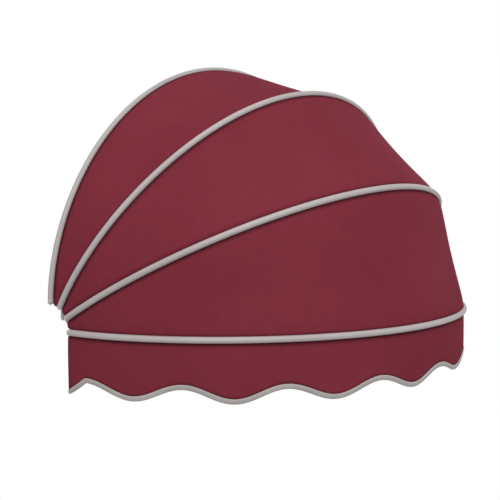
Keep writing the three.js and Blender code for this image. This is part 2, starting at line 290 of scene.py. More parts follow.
def grainGroup(plan):
    # fine orange peel of a coated or cast metal
    tree, given, result = newGroup(
        "metalGrain",
        [("Place", "NodeSocketVector", None), ("Scale", "NodeSocketFloat", 900.0)],
        ["Height", "Speck"],
    )
    grain = noiseNode(tree, (-400, 100), given["Place"], given["Scale"], plan["detail"])
    tree.links.new(grain, result["Height"])
    tree.links.new(rangeNode(tree, (200, -100), grain, *plan["speck"], 0, 1), result["Speck"])
    return tree


plainWeave = weaveGroup(weavePlan)
toneDrift = fadeGroup(driftPlan)
stitchRow = stitchGroup(stitchPlan)
edgeWear = wearGroup(wearPlan)
metalGrain = grainGroup(grainPlan)
print("node groups:", len(bpy.data.node_groups))


def useGroup(tree, group, place, **values):
    node = addNode(tree, "ShaderNodeGroup", place, node_tree=group)
    for key, value in values.items():
        feed(tree, node.inputs[key], value)
    return node.outputs


def bumpNode(tree, place, height, strength, distance, normal=None):
    node = addNode(tree, "ShaderNodeBump", place)
    node.inputs["Strength"].default_value = strength
    node.inputs["Distance"].default_value = distance
    tree.links.new(height, node.inputs["Height"])
    if normal is not None:
        tree.links.new(normal, node.inputs["Normal"])
    return node.outputs["Normal"]


def newMaterial(name):
    material = bpy.data.materials.new(name)
    material.use_nodes = True
    tree = material.node_tree
    return material, tree, tree.nodes["Principled BSDF"]


def attributeNode(tree, place, name):
    return addNode(tree, "ShaderNodeAttribute", place, attribute_name=name).outputs["Fac"]


def objectPlace(tree, place):
    return addNode(tree, "ShaderNodeTexCoord", place).outputs["Object"]


def driftTone(tree, place, coords, look):
    broad, fine = look["drift"]
    return useGroup(tree, toneDrift, place, Place=coords, Broad=broad, Fine=fine)["Tone"]


def linkFinish(tree, shader, colour, rough, relief):
    tree.links.new(colour, shader.inputs["Base Color"])
    tree.links.new(rough, shader.inputs["Roughness"])
    tree.links.new(relief, shader.inputs["Normal"])


# cloth finishes: drift is broad and fine noise, and each bump its strength and depth

canvasLook = {
    "dark": (0.168, 0.0235, 0.0365, 1),
    "light": (0.205, 0.0295, 0.0455, 1),
    "drift": (2.2, 45.0),
    "pitch": 0.0011,
    "threadGap": (0.115, 0.015, 0.024, 1),
    "gapShare": 0.35,
    "weaveBump": (0.35, 0.0003),
    "stitch": (0.195, 0.029, 0.044, 1),
    "stitchRow": 0.0165,  # from the hem
    "stitchLength": 0.0045,
    "thread": 0.0009,
    "stitchHeight": 0.6,
    "stitchBump": (0.3, 0.0005),
    "hem": 0.965,  # tone of the cloth beside a hoop, a little darker than the rest
    "hemFade": (0.019, 0.0215),  # where that tone ends
    "hemStep": (0.0196, 0.0208),  # where the doubled hem's thickness ends
    "hemBump": (0.3, 0.0004),
    "underBar": (0.24, 0.0135),  # darkest tone and reach of the painted shade below a hoop, where the cloth goes into its groove
    "overEdge": (0.5, 0.0085),  # the same painted shade above a hoop or the tape, and at the side hems
    "roughness": (0.78, 0.92),
    "gloss": {
        "Specular IOR Level": 0.03,
        "Sheen Weight": 0.02,
        "Sheen Roughness": 0.6,
        "Sheen Tint": (0.6, 0.12, 0.18, 1),
    },
}


def weaveCloth(tree, look):
    # what canvas and tape share: hem distance, woven colour, stitch mask, tone and relief
    cloth = addNode(tree, "ShaderNodeUVMap", (-1500, 200), uv_map="cloth").outputs["UV"]
    hem = attributeNode(tree, (-1500, -500), "hemDistance")
    weave = useGroup(tree, plainWeave, (-1200, 240), Map=cloth, Pitch=look["pitch"])
    tone = driftTone(tree, (-1200, -120), objectPlace(tree, (-1500, -200)), look)
    parts = addNode(tree, "ShaderNodeSeparateXYZ", (-1300, -320))
    tree.links.new(cloth, parts.inputs[0])
    row = useGroup(
        tree, stitchRow, (-1100, -420), Along=parts.outputs[0], Distance=hem,
        Row=look["stitchRow"], Length=look["stitchLength"], Thread=look["thread"])
    ground = mixColour(tree, (-800, 60), tone, look["dark"], look["light"])
    gaps = mathNode(tree, "SUBTRACT", (-980, 320), 1.0, weave["Shade"])
    threads = mathNode(tree, "MULTIPLY", (-800, 260), gaps, look["gapShare"])
    woven = mixColour(tree, (-600, 160), threads, ground, look["threadGap"])
    relief = bumpNode(tree, (-500, -300), weave["Height"], *look["weaveBump"])
    raised = mathNode(tree, "MULTIPLY", (-900, -560), row["Mask"], look["stitchHeight"])
    ridge = mathNode(tree, "SUBTRACT", (-700, -620), raised, row["Dimple"])
    relief = bumpNode(tree, (-300, -440), ridge, *look["stitchBump"], relief)
    return hem, woven, row["Mask"], tone, relief


def finishCloth(tree, shader, look, colour, tone, relief):
    low, high = look["roughness"]
    rough = rangeNode(tree, (-400, -120), tone, 0, 1, high, low)
    linkFinish(tree, shader, colour, rough, relief)
    for key, value in look["gloss"].items():
        shader.inputs[key].default_value = value


def canvasMaterial(look):
    material, tree, shader = newMaterial("burgundyCanvas")
    hem, woven, stitches, tone, relief = weaveCloth(tree, look)
    hemBand = rangeNode(tree, (-800, -300), hem, *look["hemFade"], look["hem"], 1)
    # painted shade: the cloth is darkened below each hoop, above each hoop and the tape, and at the side
    # hems
    under = attributeNode(tree, (-1500, -700), "underBar")
    over = attributeNode(tree, (-1500, -900), "overEdge")
    darkest, reach = look["underBar"]
    belowBarShade = rangeNode(tree, (-1100, -700), under, 0, reach, darkest, 1)
    darkest, reach = look["overEdge"]
    aboveEdgeShade = rangeNode(tree, (-1100, -900), over, 0, reach, darkest, 1)
    paintedCreaseShade = mathNode(tree, "MULTIPLY", (-800, -900), belowBarShade, aboveEdgeShade)
    shaded = mathNode(tree, "MULTIPLY", (-600, -300), hemBand, paintedCreaseShade)
    # the woven colour times the painted shade and the darker band beside the hoops
    folded = mixColour(tree, (-400, 100), 1.0, woven, shaded, "MULTIPLY")
    sewn = mixColour(tree, (-200, 60), stitches, folded, look["stitch"])
    step = rangeNode(tree, (-700, -760), hem, *look["hemStep"], 1, 0)
    relief = bumpNode(tree, (-100, -440), step, *look["hemBump"], relief)
    finishCloth(tree, shader, look, sewn, tone, relief)
    return material


tapeLook = {
    "dark": (0.33, 0.305, 0.295, 1),
    "light": (0.42, 0.39, 0.378, 1),
    "drift": (6.0, 120.0),
    "pitch": 0.0008,
    "threadGap": (0.22, 0.2, 0.195, 1),
    "gapShare": 0.4,
    "weaveBump": (0.4, 0.0003),
    "stitch": (0.5, 0.47, 0.455, 1),
    "stitchRow": 0.002,
    "stitchLength": 0.0035,
    "thread": 0.0007,
    "stitchHeight": 0.6,
    "stitchBump": (0.5, 0.0005),
    "paintedLightAndShade": (1.06, 0.9),  # painted light at the upper edge and painted shade at the lower edge, as tone factors over the reach below
    "paintedLightAndShadeReach": (0.003, 0.0155),
    "roughness": (0.7, 0.85),
    "gloss": {"Specular IOR Level": 0.25, "Sheen Weight": 0.05},
}


def tapeMaterial(look):
    material, tree, shader = newMaterial("greyBindingTape")
    hem, woven, stitches, tone, relief = weaveCloth(tree, look)
    # painted light along the tape's upper edge and painted shade along its lower edge
    litAndShadedTone = rangeNode(tree, (-700, -200), hem, *look["paintedLightAndShadeReach"], *look["paintedLightAndShade"])
    paintedLitTape = mixColour(tree, (-400, 300), 1.0, woven, litAndShadedTone, "MULTIPLY")
    sewn = mixColour(tree, (-300, 100), stitches, paintedLitTape, look["stitch"])
    finishCloth(tree, shader, look, sewn, tone, relief)
    return material


cordLook = {
    "dark": (0.07, 0.012, 0.018, 1),
    "light": (0.12, 0.02, 0.03, 1),
    "drift": (30.0, 600.0),
    "bump": (0.3, 0.0003),
    "roughness": (0.5, 0.7),
    "gloss": {},
}


def cordMaterial(look):
    material, tree, shader = newMaterial("weltCord")
    tone = driftTone(tree, (-600, 0), objectPlace(tree, (-900, 0)), look)
    colour = mixColour(tree, (-300, 100), tone, look["dark"], look["light"])
    relief = bumpNode(tree, (-300, -300), tone, *look["bump"])
    finishCloth(tree, shader, look, colour, tone, relief)
    return material


# metal finishes

def metalMaterial(name, look):
    material, tree, shader = newMaterial(name)
    place = objectPlace(tree, (-1200, 0))
    tone = driftTone(tree, (-900, 200), place, look)
    grain = useGroup(tree, metalGrain, (-900, -100), Place=place, Scale=look["grain"])
    low, high = look["wear"]
    worn = useGroup(tree, edgeWear, (-900, -340), Place=place, Low=low, High=high)["Mask"]
    ground = mixColour(tree, (-600, 200), tone, look["dark"], look["light"])
    specks = mathNode(tree, "MULTIPLY", (-700, -60), grain["Speck"], look["speckShare"])
    speckled = mixColour(tree, (-400, 160), specks, ground, look["speck"])
    colour = mixColour(tree, (-200, 120), worn, speckled, look["bare"])
    low, high = look["roughness"]
    rough = rangeNode(tree, (-600, -100), grain["Speck"], 0, 1, low, high)
    scuffed = mixFloat(tree, (-300, -100), worn, rough, low * look["rubbed"])
    relief = bumpNode(tree, (-300, -320), grain["Height"], *look["bump"])
    linkFinish(tree, shader, colour, scuffed, relief)
    shader.inputs["Metallic"].default_value = look["metallic"]
    return material


barLook = {
    "dark": (0.37, 0.336, 0.332, 1),
    "light": (0.435, 0.397, 0.392, 1),
    "drift": (4.0, 90.0),
    "speck": (0.47, 0.436, 0.431, 1),
    "speckShare": 0.22,
    "bare": (0.62, 0.61, 0.6, 1),
    "grain": 1100.0,
    "wear": (0.56, 0.66),
    "roughness": (0.58, 0.68),
    "rubbed": 0.8,  # roughness of a worn edge, as a share of the lowest
    "metallic": 0.15,
    "bump": (0.05, 0.0002),
}
castingLook = dict(
    barLook, dark=(0.33, 0.315, 0.31, 1), light=(0.42, 0.4, 0.39, 1), drift=(4.0, 160.0),
    grain=800.0, bump=(0.3, 0.0002), wear=(0.52, 0.6), roughness=(0.42, 0.6), metallic=0.4,
)
steelLook = dict(
    barLook, dark=(0.42, 0.42, 0.425, 1), light=(0.56, 0.56, 0.56, 1), drift=(4.0, 300.0),
    speck=(0.36, 0.36, 0.37, 1), bare=(0.7, 0.7, 0.7, 1), grain=1800.0, wear=(0.52, 0.62),
    roughness=(0.26, 0.4), metallic=0.9,
)

burgundyCanvas = canvasMaterial(canvasLook)
greyBindingTape = tapeMaterial(tapeLook)
weltCord = cordMaterial(cordLook)
hoopAluminium = metalMaterial("hoopAluminium", barLook)
hingeCasting = metalMaterial("hingeCasting", castingLook)
fastenerSteel = metalMaterial("fastenerSteel", steelLook)
print("materials:", len(bpy.data.materials))


# the curve that all four hoops share, in a hoop's own frame, in metres

hoopPlan = {
    "width": 1.6,
    "rise": 0.74,
    "bend": 1.1,
    "diameter": 0.018,
    "end": 0.0797128,  # from the shared line to the leg ends
    "origin": (0, -0.012, -0.0378564),  # a point of the shared line
    "pivot": (0, -0.0498564, 0),
    "angles": {"rear": 90, "upper": 60, "lower": 30, "front": 0},
    "bodies": {"rear": "wall_frame", "upper": "upper_hoop", "lower": "lower_hoop", "front": "front_hoop"},
    "foldLimit": 88,  # degrees that the front hoop turns
    "samples": 6001,  # along the exact curve
    "steps": 144,
    "sectionSteps": {"outside": 18, "inside": 14, "pocket": 10},
    "grooveTilt": math.radians(16),
    "pocketDistance": 0.0049,
    "pocketDiameter": 0.0052,
    "mouthWidth": 0.002,
    "merge": 0.00001,
    "smooth": math.radians(32),
}


def hoopLine(steps):
    turn = np.linspace(0, math.pi, hoopPlan["samples"])
    x = -hoopPlan["width"] / 2 * np.cos(turn)
    y = hoopPlan["end"] + hoopPlan["rise"] * np.maximum(np.sin(turn), 0) ** hoopPlan["bend"]
    arc = np.concatenate(([0], np.cumsum(np.hypot(np.diff(x), np.diff(y)))))
    along = np.linspace(0, arc[-1], steps + 1)
    at = np.interp(along, arc, turn)
    points = np.column_stack((np.interp(along, arc, x), np.interp(along, arc, y)))
    sine = np.maximum(np.sin(at), 1e-9)  # no power of a negative number at the ends
    slope = np.column_stack((
        hoopPlan["width"] / 2 * sine,
        hoopPlan["rise"] * hoopPlan["bend"] * sine ** (hoopPlan["bend"] - 1) * np.cos(at),
    ))
    slope[0] = (0, 1)
    slope[-1] = (0, -1)
    slope /= np.linalg.norm(slope, axis=1)[:, None]
    away = np.column_stack((-slope[:, 1], slope[:, 0]))
    return along, points, away


def hoopMatrix(hoop):
    turn = math.radians(hoopPlan["angles"][hoop])
    outward = Vector((0, -math.cos(turn), math.sin(turn)))
    following = Vector((0, -math.sin(turn), -math.cos(turn)))  # towards the next hoop down
    matrix = Matrix((Vector((1, 0, 0)), outward, following)).transposed().to_4x4()
    matrix.translation = hoopPlan["origin"]
    return matrix


def besideHoop(hoop, points, away, offAway, offNext):
    moved = points + away * np.reshape(offAway, (-1, 1))
    local = np.column_stack((moved, np.broadcast_to(offNext, len(points))))
    matrix = np.array(hoopMatrix(hoop))
    return local @ matrix[:3, :3].T + matrix[:3, 3]


def deselectAll():
    if bpy.context.object is not None and bpy.context.object.mode != "OBJECT":
        bpy.ops.object.mode_set(mode="OBJECT")
    bpy.ops.object.select_all(action="DESELECT")


def makeActive(piece):
    deselectAll()
    piece.select_set(True)
    bpy.context.view_layer.objects.active = piece


def turnOut(piece, merge=None, flatten=None, smooth=None):
    makeActive(piece)
    bpy.ops.object.mode_set(mode="EDIT")
    bpy.ops.mesh.select_all(action="SELECT")
    if merge:
        bpy.ops.mesh.remove_doubles(threshold=merge)
    bpy.ops.mesh.normals_make_consistent(inside=False)
    if flatten:
        bpy.ops.mesh.dissolve_limited(angle_limit=flatten)
    bpy.ops.object.mode_set(mode="OBJECT")
    if smooth:
        bpy.ops.object.shade_smooth_by_angle(angle=smooth)


def applyModifiers(piece):
    makeActive(piece)
    for modifier in list(piece.modifiers):
        bpy.ops.object.modifier_apply(modifier=modifier.name)


def dress(piece, material, slotName):
    piece.data.materials.clear()
    piece.data.materials.append(material)


def drawPath(name, points, flat):
    deselectAll()
    bpy.ops.curve.primitive_nurbs_path_add()
    path = bpy.context.object
    path.name = name
    path.data.dimensions = "2D" if flat else "3D"
    path.data.splines.clear()
    spline = path.data.splines.new("POLY")
    spline.points.add(len(points) - 1)
    for point, place in zip(spline.points, points):
        point.co = (*place, 1)
    return path


def pathToMesh(path):
    path.data.use_fill_caps = True
    makeActive(path)
    bpy.ops.object.convert(target="MESH")


# hoops: one grooved round bar, swept along the shared curve

def arcPoints(centre, radius, start, stop, count):
    turns = np.linspace(start, stop, count + 1)
    return [(centre[0] + radius * math.cos(t), centre[1] + radius * math.sin(t)) for t in turns]


def barSection():
    # first number towards the next hoop down, second away from the dome
    radius = hoopPlan["diameter"] / 2
    pocket = hoopPlan["pocketDiameter"] / 2
    distance = hoopPlan["pocketDistance"]
    steps = hoopPlan["sectionSteps"]
    lip = math.asin(hoopPlan["mouthWidth"] / 2 / radius)
    mouth = math.asin(hoopPlan["mouthWidth"] / 2 / pocket)
    right = -hoopPlan["grooveTilt"]
    left = math.pi + hoopPlan["grooveTilt"]

    def pocketPoints(turn):
        centre = (distance * math.cos(turn), distance * math.sin(turn))
        return arcPoints(centre, pocket, turn - mouth, turn + mouth - 2 * math.pi, steps["pocket"])

    outline = arcPoints((0, 0), radius, right + lip, left - lip, steps["outside"])
    outline += pocketPoints(left)
    outline += arcPoints((0, 0), radius, left + lip, right - lip + 2 * math.pi, steps["inside"])
    outline += pocketPoints(right + 2 * math.pi)
    return outline


def sweepBar(hoop):
    points = hoopLine(hoopPlan["steps"])[1]
    bar = drawPath("bar_" + hoop, [(x, y, 0) for x, y in points], flat=True)
    outline = [(-out, down, 0) for down, out in barSection()]  # a flat path's profile looks inward
    profile = drawPath("barProfile", outline, flat=True)
    profile.data.splines[0].use_cyclic_u = True
    bar.data.bevel_mode = "OBJECT"
    bar.data.bevel_object = profile
    pathToMesh(bar)
    bpy.data.objects.remove(profile)
    bar.matrix_world = hoopMatrix(hoop)
    bpy.ops.object.transform_apply(location=True, rotation=True, scale=True)
    turnOut(bar, merge=hoopPlan["merge"], smooth=hoopPlan["smooth"])
    dress(bar, hoopAluminium, "hoop_aluminium")
    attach(bar, hoopPlan["bodies"][hoop])
    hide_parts("hoop_" + hoop)
    return bar


bars = {hoop: sweepBar(hoop) for hoop in hoopPlan["angles"]}
print("hoops:", {hoop: len(bar.data.polygons) for hoop, bar in bars.items()})


# welts: the cords sewn into the cloth edges, in the grooves

weltPlan = {"radius": 0.0018, "steps": 96, "roundness": 2, "merge": 0.00001, "smooth": math.radians(40)}


def groovePlace(distance, direction):
    tilt = hoopPlan["grooveTilt"]
    return -distance * math.sin(tilt), direction * distance * math.cos(tilt)


def layWelt(name, hoop, direction):
    points, away = hoopLine(weltPlan["steps"])[1:]
    offAway, offNext = groovePlace(hoopPlan["pocketDistance"], direction)
    cord = drawPath(name + "_cord", besideHoop(hoop, points, away, offAway, offNext), flat=False)
    cord.data.bevel_depth = weltPlan["radius"]
    cord.data.bevel_resolution = weltPlan["roundness"]
    pathToMesh(cord)
    turnOut(cord, merge=weltPlan["merge"], smooth=weltPlan["smooth"])
    dress(cord, weltCord, "welt_cord")
    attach(cord, hoopPlan["bodies"][hoop])
    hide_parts(name)
    return cord


panelPlan = {
    # turns are the two hoops' thirds of the fold, the number after them widens the painted shade line above
    # the lower hoop, and lift is how far the cloth rises towards the upper and the lower hoop
    "upper": {"above": "rear", "below": "upper", "turns": (0, 1), "paintedCreaseShade": 2.6, "lift": (0.0065, -0.012)},
    "middle": {"above": "upper", "below": "lower", "turns": (1, 2), "paintedCreaseShade": 1.6, "lift": (0.0018, 0.007)},
    "lower": {"above": "lower", "below": "front", "turns": (2, 3), "paintedCreaseShade": 1.0, "lift": (0.0065, 0.0062)},
}
welts = []
for panel, plan in panelPlan.items():
    welts.append(layWelt("panel_%s_top_welt" % panel, plan["above"], 1))
    welts.append(layWelt("panel_%s_bottom_welt" % panel, plan["below"], -1))
welts.append(layWelt("valance_welt", "front", 1))
print("welts:", len(welts))


# canvas between the hoops, each panel one continuous sheet

clothPlan = {
    "columns": 132,
    "rows": 24,
    "grooveRows": 2,  # rows of points inside a groove
    "edge": 0.0071,  # where the sheet ends in its groove
    "exit": 0.012,  # where it leaves the groove's line
    "midGroove": 0.6,  # share of the way from the edge to the exit
    "overhang": 0.008,  # of the side hems past the hoop ends
    "sideHem": 0.006,  # added to the distance from a side hem, which is narrower
    # added to the distance from a side hem for the painted shade there
    "sideShadeOffset": 0.003,
    "sag": 0.02,  # of the distance between the hoops
    "liftReach": 0.025,  # from a hoop, over which the cloth rises clear of the groove
    "thickness": 0.0009,
    "ripple": 0.0005,
    "rippleLength": 0.083,
    "rippleDrift": (5, 3.1),  # how far and how fast the ripples' spacing changes
    "rippleStart": 0.02,
    "rippleReach": 0.07,
    "smooth": math.radians(50),
}


def clothMesh(name, rows, faces, maps, **distances):
    mesh = bpy.data.meshes.new(name)
    mesh.from_pydata(np.concatenate(rows).tolist(), [], faces)
    layer = mesh.uv_layers.new(name="cloth")
    flat = np.concatenate(maps)
    corners = np.empty(len(mesh.loops), np.int32)
    mesh.loops.foreach_get("vertex_index", corners)
    layer.data.foreach_set("uv", flat[corners].astype(np.float32).ravel())
    for key, values in distances.items():
        distance = mesh.attributes.new(key, "FLOAT", "POINT")
        distance.data.foreach_set("value", np.concatenate(values).astype(np.float32))
    piece = bpy.data.objects.new(name, mesh)
    bpy.context.scene.collection.objects.link(piece)
    return piece


def gridFaces(rows):
    columns = len(rows[0])
    faces = []
    for r in range(len(rows) - 1):
        first = r * columns
        second = first + columns
        for c in range(columns - 1):
            faces.append((first + c, second + c, second + c + 1, first + c + 1))
    return faces


def thicken(piece, thickness):
    solidify = piece.modifiers.new("thickness", "SOLIDIFY")
    solidify.thickness = thickness
    solidify.offset = 0
    applyModifiers(piece)
    turnOut(piece, smooth=clothPlan["smooth"])


def drawOut(along, rows):
    # side hems run on past the ends of the hoops, apart from the edge in the groove
    reach = clothPlan["overhang"]
    for row in rows:
        for end, beside in ((0, 1), (-1, -2)):
            outward = row[end] - row[beside]
            row[end] += outward / np.linalg.norm(outward) * reach
    longer = along.copy()
    longer[0] -= reach
    longer[-1] += reach
    return longer


def panelRows(plan):
    along, points, away = hoopLine(clothPlan["columns"])
    tilt = hoopPlan["grooveTilt"]
    edges = {}
    for key, hoop, direction in (("top", plan["above"], 1), ("foot", plan["below"], -1)):
        for part in ("edge", "exit"):
            offAway, offNext = groovePlace(clothPlan[part], direction)
            edges[key + part] = besideHoop(hoop, points, away, offAway, offNext)
        centre = besideHoop(hoop, points, away, 0, 0)
        tip = besideHoop(hoop, points, away, math.cos(tilt), direction * math.sin(tilt))
        edges[key + "out"] = tip - centre
    chord = np.linalg.norm(edges["footexit"] - edges["topexit"], axis=1)[:, None]
    inside = clothPlan["midGroove"]
    drift, driftRate = clothPlan["rippleDrift"]
    topLift, footLift = plan["lift"]
    rows = [edges["topedge"], edges["topedge"] * (1 - inside) + edges["topexit"] * inside]
    for share in np.linspace(0, 1, clothPlan["rows"] + 1):
        outer = edges["topout"] * (1 - share) + edges["footout"] * share
        outer /= np.linalg.norm(outer, axis=1)[:, None]
        sag = 4 * share * (1 - share) * clothPlan["sag"] * chord
        nearHoop = np.minimum(share, 1 - share) * chord[:, 0]
        pull = np.exp(-nearHoop / clothPlan["rippleReach"])
        pull *= np.minimum(nearHoop / clothPlan["rippleStart"], 1)
        phase = 2 * math.pi * along / clothPlan["rippleLength"] + drift * np.sin(along * driftRate + share)
        ripple = clothPlan["ripple"] * pull * np.sin(phase)
        fromTop = 1 - np.exp(-share * chord / clothPlan["liftReach"])
        fromFoot = 1 - np.exp((share - 1) * chord / clothPlan["liftReach"])
        rise = (topLift + (footLift - topLift) * share ** 2) * fromTop * fromFoot
        straight = edges["topexit"] * (1 - share) + edges["footexit"] * share
        rows.append(straight + outer * (ripple[:, None] + rise - sag))
    along = drawOut(along, rows[clothPlan["grooveRows"]:])
    rows.append(edges["footedge"] * (1 - inside) + edges["footexit"] * inside)
    rows.append(edges["footedge"])
    return along, rows


def flatMaps(along, rows):
    lengths = np.array([np.linalg.norm(b - a, axis=1) for a, b in zip(rows, rows[1:])])
    down = np.concatenate((np.zeros((1, len(along))), np.cumsum(lengths, axis=0)))
    maps = [np.column_stack((along, line)) for line in down]
    ends = np.minimum(along - along[0], along[-1] - along)
    return down, maps, ends


def turnShares(rows, turns):
    # share of the lower hoop's turn for each point, so that the folded cloth lies between the two hoops
    first, last = np.radians([hoopPlan["foldLimit"] * third / 3 for third in turns])
    pivot = np.array(hoopPlan["pivot"])
    held = clothPlan["grooveRows"]
    reach = [np.hypot(*(row - pivot)[:, 1:].T) for row in rows]
    angle = [np.arctan2(row[:, 2] - pivot[2], pivot[1] - row[:, 1]) for row in rows]
    near = reach[held] * np.cos(angle[held] + first)
    far = reach[-1 - held] * np.cos(angle[-1 - held] + last)
    shares = []
    for number, (length, turn) in enumerate(zip(reach, angle)):
        share = np.clip((number - held) / (len(rows) - 1 - 2 * held), 0, 1)
        forward = near * (1 - share) + far * share
        folded = np.arccos(np.clip(forward / length, -1, 1))
        shares.append(np.clip((folded - turn) / last, first / last, 1))
    for number in range(held + 1):
        shares[number][:] = first / last
        shares[-1 - number][:] = 1
    return shares


def hangPanel(panel, plan):
    along, rows = panelRows(plan)
    down, maps, ends = flatMaps(along, rows)
    left = down[-1] - down
    hems = np.minimum(np.minimum(down, left), ends + clothPlan["sideHem"])
    inGroove = hoopPlan["diameter"] / 2 - clothPlan["edge"]
    # distances that place the painted shade below the upper hoop, above the lower hoop and at the side hems
    shadeAboveDistances = np.minimum((left - inGroove) / plan["paintedCreaseShade"], ends + clothPlan["sideShadeOffset"])
    shares = turnShares(rows, plan["turns"])
    sheet = clothMesh(
        "canvas_" + panel, rows, gridFaces(rows), maps,
        hemDistance=hems, underBar=down - inGroove, overEdge=shadeAboveDistances, turnShare=shares)
    thicken(sheet, clothPlan["thickness"])
    dress(sheet, burgundyCanvas, "awning_cloth")
    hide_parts("panel_" + panel)
    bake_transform(sheet)
    turn = np.empty(len(sheet.data.vertices), np.float32)
    sheet.data.attributes["turnShare"].data.foreach_get("value", turn)


for panel, plan in panelPlan.items():
    hangPanel(panel, plan)


# valance on the front hoop, with its bound wavy edge

valancePlan = {
    "columns": 360,
    "rows": 9,
    "midGroove": 0.0095,
    "drop": 0.1492,  # to the middle of the tape
    "waveHeight": 0.019,
    "wavePeriod": 0.289,
    "firstCrest": 0.063,
    "firstRise": 1.2,  # power of the nearly straight rise from the left end
    "firstTrough": 0.2152,
    "wideCrest": {"by": 0.0145, "at": 1.165, "reach": 0.085},  # one crest begins early
    "shortLobe": {"by": 0.011, "at": 1.41, "reach": 0.07},  # and the lobe after it hangs less
    "flutter": 0.0016,
    "flutterLength": 0.231,
    "flutterDrift": (1.3, 2.3),
    "flutterMost": 1.2,  # drops up to which it grows
    "lean": (0.003, 0.03),  # outward, and the drop over which it comes in
    "clothInTape": 0.004,
}
tapePlan = {
    "width": 0.0149,
    "thickness": 0.0052,
    "slot": 0.0012,
    "wrap": 0.86,  # share of the round that the outside takes
    "steps": 25,
    "fullness": 0.8,  # power that flattens the two faces
    "lip": 0.0004,
    "merge": 0.000001,
}


def localChange(along, plan):
    return plan["by"] * np.exp(-((along - plan["at"]) / plan["reach"]) ** 2)


def waveDrop(along):
    crest = valancePlan["firstCrest"]
    trough = valancePlan["firstTrough"]
    moved = along + localChange(along, valancePlan["wideCrest"])
    half = np.where(along < trough, trough - crest, valancePlan["wavePeriod"] / 2)
    fromEnd = 1 - 2 * (along / crest) ** valancePlan["firstRise"]
    wave = np.where(along < crest, fromEnd, np.cos(math.pi * (moved - trough) / half))
    shorter = localChange(along, valancePlan["shortLobe"])
    return valancePlan["drop"] + valancePlan["waveHeight"] * wave - shorter


def hangingPlace(along, points, away, drop):
    offAway = groovePlace(clothPlan["exit"], 1)[0]
    swing = np.clip(drop / valancePlan["drop"], 0, valancePlan["flutterMost"]) ** 2
    drift, driftRate = valancePlan["flutterDrift"]
    phase = 2 * math.pi * along / valancePlan["flutterLength"] + drift * np.sin(along * driftRate)
    flutter = valancePlan["flutter"] * swing * np.sin(phase)
    out, reach = valancePlan["lean"]
    lean = out * (1 - np.exp(-drop / reach))
    return besideHoop("front", points, away, offAway + lean + flutter, drop)


def hangValance():
    along, points, away = hoopLine(valancePlan["columns"])
    foot = waveDrop(along) - tapePlan["width"] / 2 + valancePlan["clothInTape"]
    rows = []
    for distance in (clothPlan["edge"], valancePlan["midGroove"]):
        offAway, offNext = groovePlace(distance, 1)
        rows.append(besideHoop("front", points, away, offAway, offNext))
    for share in np.linspace(0, 1, valancePlan["rows"] + 1):
        drop = clothPlan["exit"] * (1 - share) + foot * share
        rows.append(hangingPlace(along, points, away, drop))
    along = drawOut(along, rows[clothPlan["grooveRows"]:])
    down, maps, ends = flatMaps(along, rows)
    hems = np.minimum(down, ends + clothPlan["sideHem"])
    # distances that place the painted shade below the front hoop, above the tape and at the side hems
    shadeBelowDistances = down - hoopPlan["diameter"] / 2 + clothPlan["edge"]
    shadeAboveDistances = np.minimum(down[-1] - down - valancePlan["clothInTape"], ends + clothPlan["sideShadeOffset"])
    sheet = clothMesh(
        "canvas_valance", rows, gridFaces(rows), maps, hemDistance=hems, underBar=shadeBelowDistances, overEdge=shadeAboveDistances)
    thicken(sheet, clothPlan["thickness"])
    dress(sheet, burgundyCanvas, "awning_cloth")
    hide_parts("valance")
    return sheet, float(along[-1] - along[0]), down[-1]


def tapeSection(plan):
    # a tape folded over the cloth edge: first number down from its middle, second out from the cloth
    half = plan["width"] / 2
    thick = plan["thickness"] / 2
    slot = plan["slot"] / 2
    wrap = plan["wrap"] * math.pi
    outline = []
    for turn in np.linspace(-wrap, wrap, plan["steps"]):
        side = math.sin(turn)
        outline.append((half * math.cos(turn), -thick * abs(side) ** plan["fullness"] * np.sign(side)))
    edge = outline[-1][0]
    tip = edge - plan["lip"]
    inner = half - thick
    outline += [(tip, -slot - plan["lip"]), (edge, -slot), (inner, -slot)]
    outline += [(inner + slot, 0)]
    outline += [(inner, slot), (edge, slot), (tip, slot + plan["lip"])]
    return np.array(outline)


def runLengths(points):
    return np.concatenate(([0], np.cumsum(np.linalg.norm(np.diff(points, axis=0), axis=1))))


def tubeFaces(rows):
    count = len(rows)
    columns = len(rows[0])
    faces = []
    for r in range(count):
        first = r * columns
        second = (r + 1) % count * columns
        for c in range(columns - 1):
            faces.append((first + c, first + c + 1, second + c + 1, second + c))
    faces.append([r * columns for r in range(count)])
    faces.append([r * columns + columns - 1 for r in reversed(range(count))])
    return faces


def bindEdge():
    along, points, away = hoopLine(valancePlan["columns"])
    drop = waveDrop(along)
    slope = np.gradient(drop, along)
    run = np.sqrt(1 + slope * slope)
    section = tapeSection(tapePlan)
    normal = besideHoop("front", points, away, 1, 0) - besideHoop("front", points, away, 0, 0)
    travel = runLengths(np.column_stack((along, drop)))
    rows, maps, hems = [], [], []
    for (below, out), around in zip(section, runLengths(section)):
        sideways = np.clip(along - below * slope / run, 0, along[-1])
        shifted = np.column_stack([np.interp(sideways, along, points[:, axis]) for axis in (0, 1)])
        place = hangingPlace(sideways, shifted, away, drop + below / run) + normal * out
        drawOut(along, [place])
        rows.append(place)
        maps.append(np.column_stack((travel, np.full(len(travel), around))))
        hems.append(np.full(len(travel), tapePlan["width"] / 2 + below))
    tape = clothMesh("edge_tape", rows, tubeFaces(rows), maps, hemDistance=hems)
    turnOut(tape, merge=tapePlan["merge"], smooth=clothPlan["smooth"])
    dress(tape, greyBindingTape, "binding_tape")
    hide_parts("valance_binding")
    return tape


valance, valanceWidth, valanceDrops = hangValance()
edgeTape = bindEdge()
for piece in (valance, edgeTape):
    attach(piece, "front_hoop")
    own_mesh(piece)
print("valance: flat", round(valanceWidth, 3), round(float(valanceDrops.max()), 3))


# hinges, brackets and fasteners: the CAD solids with eased edges

